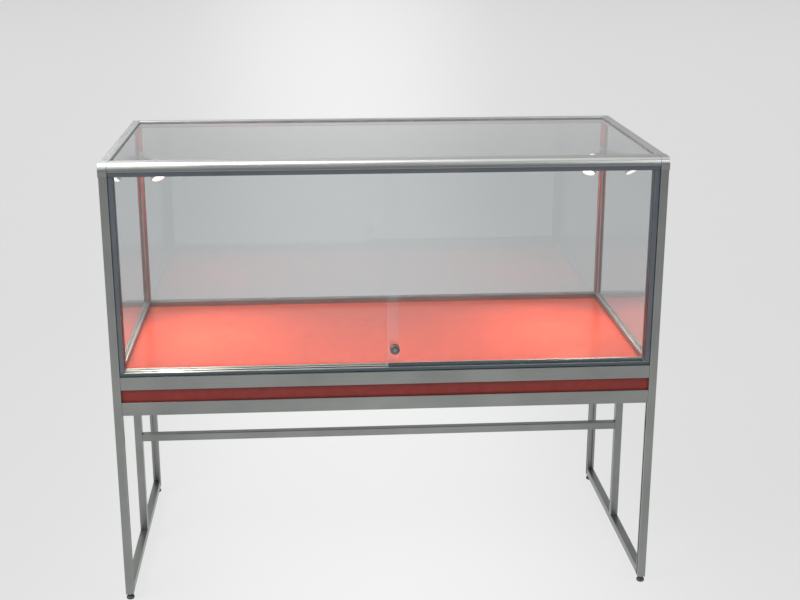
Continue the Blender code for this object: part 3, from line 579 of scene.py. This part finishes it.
leg_end = POST_LOW.z
fitted = []
for end in ("front", "back"):
    for _, word in SIDES:
        low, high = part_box(f"foot_{end}_{word}")
        centre = (low + high) / 2
        place = Matrix.Translation((centre.x, centre.y, 0))
        bm = bmesh.new()
        ring_prism(bm, polygon_points(4, SECTION - 2 * PLATE_INSET, STEPS),
                   [(leg_end - PLATE, 0.97), (leg_end - PLATE * 0.6, 1.0), (leg_end - PLATE_GAP, 1.0)], HOLE)
        bmesh.ops.transform(bm, matrix=place, verts=bm.verts)
        fitted.append(add_piece(f"leg_plate_{end}_{word}", bm, BLACK, "frame", smooth=False))
        bm = bmesh.new()
        top = leg_end - PLATE - PLATE_GAP
        ring_prism(bm, polygon_points(6, NUT_FLATS, STEPS),
                   [(top - NUT_HEIGHT, 0.93), (top - NUT_HEIGHT * 0.8, 1.0), (top - NUT_HEIGHT * 0.2, 1.0),
                    (top, 0.93)], NUT_BORE)
        bmesh.ops.transform(bm, matrix=place, verts=bm.verts)
        fitted.append(add_piece(f"foot_nut_{end}_{word}", bm, STEEL, "frame", smooth=False))
print("leg plates and nuts:", len(fitted))

# %% [markdown]
# ## Screws
# The rails are drawn against the posts by screws through the posts' outer sides, and the base panel
# is screwed to its ledge from below. A button head is turned as one outline, with a round socket for
# the real one's hexagon: a dome that ends at the socket's rim and drops to its floor.

# %% Button-head screws
HEAD_RADIUS = 0.0034
HEAD_HEIGHT = 0.0012
SOCKET_RADIUS = 0.0015
SOCKET_DEPTH = 0.0008
SCREW_GAP = 0.0001
SCREW_STEPS = 18


def screw(name, place):
    """A button head with its socket, standing on the plane z = 0 of `place`."""
    dome = []
    for k in range(9):
        t = math.radians(90 * k / 8)
        radius = SOCKET_RADIUS + (HEAD_RADIUS - SOCKET_RADIUS) * math.cos(t)
        dome.append((radius, HEAD_HEIGHT * math.sin(t) + SCREW_GAP))
    top = dome[-1][1]
    outline = [(0, SCREW_GAP), *dome, (SOCKET_RADIUS, top - SOCKET_DEPTH), (0, top - SOCKET_DEPTH)]
    bm = bmesh.new()
    spin_outline(bm, outline, place, SCREW_STEPS)
    return add_piece(name, bm, STEEL, "frame")


def facing_x(side, x, y, z):
    return Matrix.Translation((x, y, z)) @ Matrix.Rotation(side * math.radians(90), 4, "Y")


rail_heights = {}
for word in ("belt_rail_front", "plinth_rail_front"):
    low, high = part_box(word)
    rail_heights[word.split("_")[0]] = (low.z + high.z) / 2
rows = {"front": (POST_LOW.y + POST_HIGH.y) / 2, "back": (BACK_POST_LOW.y + BACK_POST_HIGH.y) / 2}
screws = []
for side, word in SIDES:
    for end, y in rows.items():
        for rail, z in rail_heights.items():
            screws.append(screw(f"screw_{rail}_{end}_{word}", facing_x(side, side * POST_HIGH.x, y, z)))
    low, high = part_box("stretcher_bar")
    place = facing_x(side, side * POST_HIGH.x, (low.y + high.y) / 2, (low.z + high.z) / 2)
    screws.append(screw(f"screw_stretcher_{word}", place))

panel_low, panel_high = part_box("base_panel")
ledge_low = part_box("plinth_rail_front")[0].z
downward = Matrix.Rotation(math.radians(180), 4, "X")
BASE_SCREWS = 5
SCREW_INSET = 0.006
SCREW_END = 0.06
for k in range(BASE_SCREWS):
    row = panel_high.x - panel_low.x - 2 * SCREW_END
    x = panel_low.x + SCREW_END + row * k / (BASE_SCREWS - 1)
    for end, y in (("front", panel_low.y + SCREW_INSET), ("back", panel_high.y - SCREW_INSET)):
        screws.append(screw(f"screw_base_{end}_{k}", Matrix.Translation((x, y, ledge_low)) @ downward))
print("screws:", len(screws))

# %% [markdown]
# ## Thumb screws on the spots
# Each lamp is clamped at its tilt by a small thumb screw. Its rim is knurled, so the hand can turn
# it, and here the rim's radius simply goes in and out as it runs round.

# %% Thumb screws
KNOB_RADIUS = 0.0042
KNOB_HEIGHT = 0.0034
KNURLS = 18
KNOB_OUT = 0.0062
JOINTS = {joint["name"]: joint for joint in frame["joints"]}


def thumb_screw(word):
    joint = JOINTS[f"spot_tilt_{word}"]
    axis = Vector(joint["axis"]).normalized()
    turn = axis.to_track_quat("Z", "Y").to_matrix().to_4x4()
    place = Matrix.Translation(Vector(joint["pos_m"]) + axis * KNOB_OUT) @ turn
    levels = ((0.0, 0.55), (0.0006, 0.9), (0.0010, 1.0), (KNOB_HEIGHT - 0.0006, 1.0), (KNOB_HEIGHT, 0.86))
    bm = bmesh.new()
    rings = []
    for z, share in levels:
        ring = []
        for k in range(4 * KNURLS):
            t = 2 * math.pi * k / (4 * KNURLS)
            radius = KNOB_RADIUS * share * (1 + (0.03 if k % 4 < 2 else -0.03))
            ring.append(bm.verts.new((radius * math.cos(t), radius * math.sin(t), z)))
        rings.append(ring)
    for here, there in zip(rings, rings[1:]):
        for i in range(len(here)):
            j = (i + 1) % len(here)
            bm.faces.new((here[i], here[j], there[j], there[i]))
    bm.faces.new(rings[0])
    bm.faces.new(rings[-1])
    bmesh.ops.transform(bm, matrix=place, verts=bm.verts)
    return add_piece(f"spot_knob_{word}", bm, STEEL, f"lamp_{word}", smooth=False)


knobs = [thumb_screw(word) for _, word in SIDES]
print("thumb screws:", len(knobs))

# %% [markdown]
# ## Corner trims
# The spots' wires climb the inner corners of the back posts under a slim angle of red-brown
# plastic. It stops at the bracket and goes on above it. The angle is an L outline pushed upward, the
# same way the bar behind it was made. Its two legs end short of the panes. Near the lamp its red is
# painted lighter, a painted lamplight, so its colour follows the height over the floor.

# %% Wire trims
TRIM_LEG = 0.0035
TRIM_WALL = 0.0013
TRIM_GAP = 0.0003
TRIM_END = 0.003
BRACKET_GAP = 0.0005
TRIM_BROWN = (0.20, 0.082, 0.075)
TRIM_PAINTED_LAMPLIGHT = (0.50, 0.115, 0.105)


def trim_plastic_with_painted_lamplight():
    """A moulded plastic whose colour goes from its red-brown low down to a painted lamplight red near the
    lamp, by height in place of the wear.
    """
    made = moulded("red_brown_trim_painted_lamplight", TRIM_BROWN, TRIM_PAINTED_LAMPLIGHT, 0.34)
    tree = made.node_tree
    # Painted lamplight: from 0.70 m to 0.90 m over the floor the red turns lighter towards the lamp.
    height = add(tree, "ShaderNodeMapRange", From_Min=0.70, From_Max=0.90, To_Min=0.0, To_Max=1.0)
    tree.links.new(component(tree, PLACE, "Z"), height.inputs["Value"])
    colour_and_painted_light = shades(tree, height.outputs["Result"], TRIM_BROWN, TRIM_PAINTED_LAMPLIGHT, 0.0, 1.0)
    tree.links.new(colour_and_painted_light, tree.nodes["Principled BSDF"].inputs["Base Color"])
    return made


TRIM_WITH_PAINTED_LAMPLIGHT = trim_plastic_with_painted_lamplight()


def wire_trim(name, side, low_z, high_z):
    inner, outer = TRIM_GAP, TRIM_GAP + TRIM_WALL
    soft = TRIM_WALL * 0.4
    outline = [(-outer + soft, -outer), (TRIM_LEG, -outer), (TRIM_LEG, -inner), (-inner, -inner),
               (-inner, TRIM_LEG), (-outer, TRIM_LEG), (-outer, -outer + soft)]
    bm = bmesh.new()
    ring = [bm.verts.new((side * (INNER_X + x), INNER_BACK + y, low_z)) for x, y in outline]
    grown = bmesh.ops.extrude_face_region(bm, geom=[bm.faces.new(ring)])
    moved = [item for item in grown["geom"] if isinstance(item, bmesh.types.BMVert)]
    bmesh.ops.translate(bm, verts=moved, vec=(0, 0, high_z - low_z))
    return add_piece(name, bm, TRIM_WITH_PAINTED_LAMPLIGHT, "frame", smooth=False)


trims = []
for side, word in SIDES:
    clip_low, clip_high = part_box(f"spot_bracket_{word}")
    low_end, high_end = clip_low.z - BRACKET_GAP, clip_high.z + BRACKET_GAP
    trims.append(wire_trim(f"wire_trim_low_{word}", side, SILL_TOP + TRIM_END, low_end))
    trims.append(wire_trim(f"wire_trim_high_{word}", side, high_end, BACK_RAIL_BOTTOM - TRIM_END))
print("wire trims:", len(trims))

# %% [markdown]
# ## Light inside the case
# Light sources sit just in front of the lenses and shine where the lamps point. Each lamp has a
# wide flood and a narrow beam, because a small reflector throws a pool with a bright middle. They
# are tied to the lamp bodies, so the pool on the deck moves when a lamp is tilted.

# %% Lamps' own light
BEAMS = (("flood", 8.0, math.radians(88)), ("beam", 6.5, math.radians(38)))
SOURCE_RADIUS = 0.008
SOURCE_AHEAD = 0.006
for _, word in SIDES:
    low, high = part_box(f"spot_lens_{word}")
    centre = (low + high) / 2
    pivot = Vector(JOINTS[f"spot_tilt_{word}"]["pos_m"])
    aim = (centre - pivot).normalized()
    for kind, watts, cone in BEAMS:
        light_data = bpy.data.lights.new(f"lamp_{kind}_{word}", "SPOT")
        light_data.energy = watts
        light_data.color = (1.0, 0.90, 0.78)
        light_data.spot_size = cone
        light_data.spot_blend = 1.0
        light_data.shadow_soft_size = SOURCE_RADIUS
        light = bpy.data.objects.new(f"lamp_{kind}_{word}", light_data)
        turn = aim.to_track_quat("-Z", "Y").to_matrix().to_4x4()
        light.matrix_world = Matrix.Translation(centre + aim * SOURCE_AHEAD) @ turn
        bpy.context.scene.collection.objects.link(light)
        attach(light, f"lamp_{word}")
    print("light", word, "points along", [round(v, 3) for v in aim])

# %% [markdown]
# ## Floor and backdrop
# One pale sweep serves as floor and backdrop: a flat part, a large curve and a wall. Seen directly,
# through glass or in a reflection it mostly glows by itself, so that it stays evenly pale. The small
# rest of its shade is ordinary paint, which takes the case's soft shadow. To both sides and high on
# the wall the glow gets greyer, which the panes and the metal reflect.

# %% Sweep
SWEEP_BACK = 3.4
SWEEP_FRONT = -7.0
SWEEP_BEND = 1.4
SWEEP_TOP = 6.0
SWEEP_HALF = 9.0
GLOW_SHARE = 0.91
UPWARD_REACH = 4.0
OUTWARD_REACH = 3.0
UPWARD_GREYS = ((0.0, 1.0), (0.20, 1.0), (0.30, 0.93), (0.42, 0.62), (0.55, 0.56), (1.0, 0.50))
OUTWARD_GREYS = ((0.0, 0.93), (0.12, 0.90), (0.25, 0.76), (0.42, 0.75), (1.0, 0.73))


def build_sweep():
    outline = [(SWEEP_FRONT, 0.0)]
    for k in range(17):
        t = math.radians(90 * k / 16)
        outline.append((SWEEP_BACK - SWEEP_BEND + SWEEP_BEND * math.sin(t), SWEEP_BEND * (1 - math.cos(t))))
    outline.append((SWEEP_BACK, SWEEP_TOP))
    bm = bmesh.new()
    left = [bm.verts.new((-SWEEP_HALF, y, z)) for y, z in outline]
    right = [bm.verts.new((SWEEP_HALF, y, z)) for y, z in outline]
    for i in range(len(outline) - 1):
        bm.faces.new((left[i], right[i], right[i + 1], left[i + 1]))
    mesh = bpy.data.meshes.new("sweep")
    bm.to_mesh(mesh)
    bm.free()
    mesh.shade_smooth()
    made = bpy.data.objects.new("sweep", mesh)
    bpy.context.scene.collection.objects.link(made)
    return made


def grey_ramp(tree, value, reach, steps):
    """Greys along a distance of `reach` metres. steps are (share of the reach, grey)."""
    share = add(tree, "ShaderNodeMapRange", From_Min=0.0, From_Max=reach, To_Min=0.0, To_Max=1.0)
    tree.links.new(value, share.inputs["Value"])
    ramp = tree.nodes.new("ShaderNodeValToRGB")
    ramp.color_ramp.interpolation = "B_SPLINE"
    for _ in steps[2:]:
        ramp.color_ramp.elements.new(0.5)
    for element, (position, grey) in zip(ramp.color_ramp.elements, steps):
        element.position = position
        element.color = (grey, grey, grey, 1)
    tree.links.new(share.outputs["Result"], ramp.inputs["Fac"])
    return ramp.outputs["Color"]


def sweep_paint():
    made, tree, shader = new_material("sweep_paint")
    upward = grey_ramp(tree, component(tree, PLACE, "Z"), UPWARD_REACH, UPWARD_GREYS)
    aside = calculate(tree, "ABSOLUTE", component(tree, PLACE, "X"))
    outward = grey_ramp(tree, aside, OUTWARD_REACH, OUTWARD_GREYS)
    tone = tree.nodes.new("ShaderNodeVectorMath")
    tone.operation = "MULTIPLY"
    tree.links.new(upward, tone.inputs[0])
    tree.links.new(outward, tone.inputs[1])
    shader.inputs["Base Color"].default_value = (0.80, 0.80, 0.80, 1)
    shader.inputs["Roughness"].default_value = 0.9
    glow = add(tree, "ShaderNodeEmission", Strength=1.0)
    tree.links.new(tone.outputs[0], glow.inputs["Color"])
    path = tree.nodes.new("ShaderNodeLightPath")
    seen = calculate(tree, "MAXIMUM", path.outputs["Is Camera Ray"], path.outputs["Is Glossy Ray"])
    seen = calculate(tree, "MAXIMUM", seen, path.outputs["Is Transmission Ray"])
    mix = tree.nodes.new("ShaderNodeMixShader")
    tree.links.new(calculate(tree, "MULTIPLY", seen, GLOW_SHARE), mix.inputs[0])
    tree.links.new(shader.outputs[0], mix.inputs[1])
    tree.links.new(glow.outputs[0], mix.inputs[2])
    tree.links.new(mix.outputs[0], tree.nodes["Material Output"].inputs["Surface"])
    return made


sweep = build_sweep()
sweep.data.materials.append(sweep_paint())
print("sweep wall at y", SWEEP_BACK)

# %% [markdown]
# ## Studio light
# A large soft key light stands to the left, in front and above, and draws the bright line on the
# rounded front rail. A weaker fill on the right keeps the other side readable, and a broad top
# light evens out the floor. A strip above the left half only shows in gloss and metal: it widens
# that bright line and makes it strongest on the left. The air outside the sweep is a dim grey for
# the object and a pale one for the camera.

# %% Lights


def area_light(name, at, look_at, width, height, watts, color=(1, 1, 1)):
    light_data = bpy.data.lights.new(name, "AREA")
    light_data.shape = "RECTANGLE"
    light_data.size = width
    light_data.size_y = height
    light_data.energy = watts
    light_data.color = color
    light = bpy.data.objects.new(name, light_data)
    light.location = at
    toward = Vector(look_at) - Vector(at)
    light.rotation_euler = toward.to_track_quat("-Z", "Y").to_euler()
    bpy.context.scene.collection.objects.link(light)
    return light


area_light("key_light", (-2.4, -1.6, 2.9), (0, 0, 0.8), 2.0, 1.4, 80)
area_light("fill_light", (2.3, -2.5, 3.2), (0, 0, 0.7), 1.8, 1.4, 34, (0.96, 0.98, 1.0))
area_light("top_light", (0.2, 0.4, 3.6), (0, 0, 0), 3.2, 2.4, 16)
strip_light = area_light("strip_light", (-1.1, 0.5, 2.7), (-0.6, -0.28, 1.0), 1.7, 2.6, 50)
strip_light.visible_diffuse = False

world = bpy.data.worlds.new("studio_air")
world.use_nodes = True
air = world.node_tree
air.nodes["Background"].inputs["Color"].default_value = (0.62, 0.64, 0.66, 1)
air.nodes["Background"].inputs["Strength"].default_value = 0.45
pale = add(air, "ShaderNodeBackground", Color=(0.70, 0.70, 0.70, 1), Strength=1.0)
air_path = air.nodes.new("ShaderNodeLightPath")
air_mix = air.nodes.new("ShaderNodeMixShader")
air.links.new(air_path.outputs["Is Camera Ray"], air_mix.inputs[0])
air.links.new(air.nodes["Background"].outputs[0], air_mix.inputs[1])
air.links.new(pale.outputs[0], air_mix.inputs[2])
air.links.new(air_mix.outputs[0], air.nodes["World Output"].inputs["Surface"])
bpy.context.scene.world = world
bpy.context.scene.view_settings.view_transform = "Standard"
print("lights: 4 and the world")
